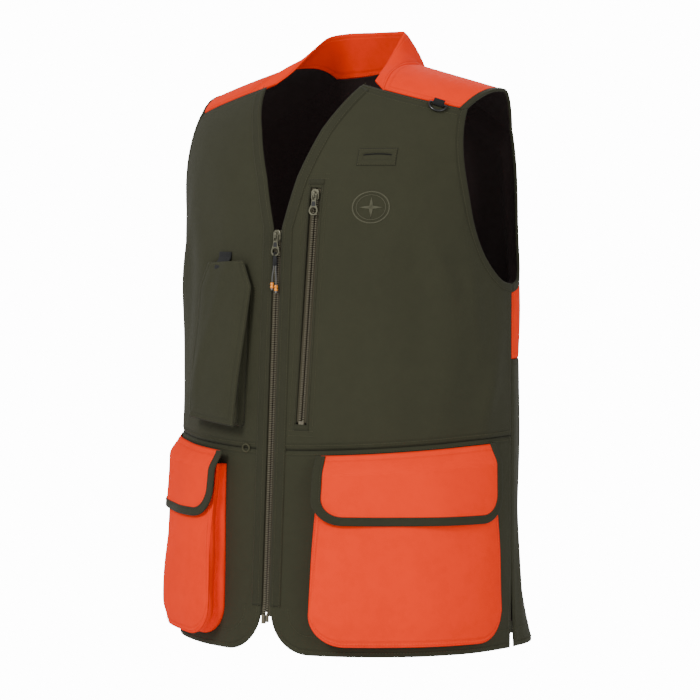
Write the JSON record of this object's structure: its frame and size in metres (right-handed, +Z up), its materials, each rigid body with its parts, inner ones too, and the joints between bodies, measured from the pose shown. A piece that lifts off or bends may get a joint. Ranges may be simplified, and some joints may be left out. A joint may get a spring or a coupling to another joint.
{
  "type": "vest",
  "caption": "Sleeveless zip-front field vest in olive with blaze orange shoulders, back, waist pockets and flaps, shaped as if worn.",
  "frame": {"origin": "middle of the shoulder line, where a wearer or a hanger carries the vest", "axes": "+Z up, -Y to the front, +X to the wearer's left"},
  "size_m": [0.463, 0.3499, 0.7259],
  "materials": {
    "olive_cloth": "matt olive softshell with a fine weave",
    "orange_cloth": "matt fluorescent orange softshell",
    "lining_mesh": "near-black knitted mesh",
    "zip_tape": "woven zip tape",
    "zip_teeth": "moulded teeth",
    "zip_metal": "grey lacquered zinc",
    "ring_metal": "black lacquered wire",
    "black_webbing": "black webbing and sheath",
    "pull_cord": "thin grey braided cord",
    "cord_bead": "amber plastic bead with a grey tip"
  },
  "bodies": {
    "back": {"back_panel": "orange_cloth", "back_skirt": "olive_cloth", "yoke_left": "orange_cloth", "yoke_right": "orange_cloth", "collar": "orange_cloth", "lining_back": "lining_mesh", "armhole_binding_back_left": "olive_cloth", "armhole_binding_back_right": "olive_cloth", "armhole_binding_top_left": "olive_cloth", "armhole_binding_top_right": "olive_cloth", "chest_panel_left": "olive_cloth", "chest_panel_right": "olive_cloth", "armhole_binding_chest_left": "olive_cloth", "armhole_binding_chest_right": "olive_cloth", "welt_patch": "olive_cloth"},
    "front_left": {"front_panel_left": "olive_cloth", "front_skirt_left": "olive_cloth", "lining_front_left": "lining_mesh", "armhole_binding_front_left": "olive_cloth", "front_facing_left": "olive_cloth", "main_zip_chain_left": "zip_teeth", "main_zip_tape_left": "zip_tape", "zip_insertion_pin": "zip_teeth", "chest_zip_chain_left": "zip_teeth", "chest_zip_chain_right": "zip_teeth", "chest_zip_tape_left": "zip_tape", "chest_zip_tape_right": "zip_tape", "chest_zip_stop": "zip_teeth", "chest_pocket_bag": "lining_mesh", "chest_badge": "olive_cloth", "pocket_front_left": "orange_cloth", "pocket_gusset_left": "orange_cloth"},
    "front_right": {"front_panel_right": "olive_cloth", "front_skirt_right": "olive_cloth", "lining_front_right": "lining_mesh", "armhole_binding_front_right": "olive_cloth", "front_facing_right": "olive_cloth", "main_zip_chain_right": "zip_teeth", "main_zip_tape_right": "zip_tape", "zip_retainer_box": "zip_teeth", "chest_pocket_front": "olive_cloth", "chest_pocket_gusset": "olive_cloth", "chest_pocket_tab": "black_webbing", "side_ring": "zip_metal", "pocket_front_right": "orange_cloth", "pocket_gusset_right": "orange_cloth"},
    "flap_left": {"flap_left": "orange_cloth", "flap_binding_left": "olive_cloth"},
    "flap_right": {"flap_right": "orange_cloth", "flap_binding_right": "olive_cloth"},
    "main_slider": {"main_zip_slider": "zip_metal"},
    "main_pull": {"main_zip_puller": "zip_metal", "pull_cord_knot": "black_webbing", "pull_cord_left": "pull_cord", "pull_cord_right": "pull_cord", "cord_bead_left": "cord_bead", "cord_bead_right": "cord_bead"},
    "chest_slider": {"chest_zip_slider": "zip_metal"},
    "chest_pull": {"chest_zip_puller": "zip_metal"},
    "shoulder_ring": {"shoulder_ring": "ring_metal"}
  },
  "joints": [
    {"name": "front_left_swing", "type": "hinge", "parent": "back", "child": "front_left", "pos_m": [0.2195, -0.0134, -0.4], "axis": [0, 0, 1], "range_deg": [0, 30]},
    {"name": "front_right_swing", "type": "hinge", "parent": "back", "child": "front_right", "pos_m": [-0.2195, -0.0134, -0.4], "axis": [0, 0, 1], "range_deg": [-30, 0]},
    {"name": "main_zip_slide", "type": "slide", "parent": "front_right", "child": "main_slider", "axis": [0, -0.0599, -0.9982], "range_m": [0, 0.4303]},
    {"name": "main_pull_swing", "type": "hinge", "parent": "main_slider", "child": "main_pull", "pos_m": [0, -0.18125, -0.22223], "axis": [-1, 0, 0], "range_deg": [0, 150]},
    {"name": "chest_zip_slide", "type": "slide", "parent": "front_left", "child": "chest_slider", "axis": [-0.03, -0.0721, -0.9969], "range_m": [0, 0.2533]},
    {"name": "chest_pull_swing", "type": "hinge", "parent": "chest_slider", "child": "chest_pull", "pos_m": [0.0475, -0.17244, -0.17517], "axis": [-0.9884, -0.1462, 0.0403], "range_deg": [0, 150]},
    {"name": "flap_left_lift", "type": "hinge", "parent": "front_left", "child": "flap_left", "pos_m": [0.16592, -0.13453, -0.46234], "axis": [-0.7387, -0.6715, -0.0589], "range_deg": [0, 120]},
    {"name": "flap_right_lift", "type": "hinge", "parent": "front_right", "child": "flap_right", "pos_m": [-0.16592, -0.13453, -0.46234], "axis": [-0.7387, 0.6715, 0.0589], "range_deg": [0, 120]},
    {"name": "shoulder_ring_swing", "type": "hinge", "parent": "back", "child": "shoulder_ring", "pos_m": [0.16152, -0.08662, -0.07121], "axis": [-0.8952, -0.324, 0.3061], "range_deg": [0, 110]}
  ],
  "couplings": [
    {"joint": "front_right_swing", "follows": "front_left_swing", "ratio": -1},
    {"joint": "main_zip_slide", "follows": "front_left_swing", "m_per_rad": 0.8218}
  ]
}
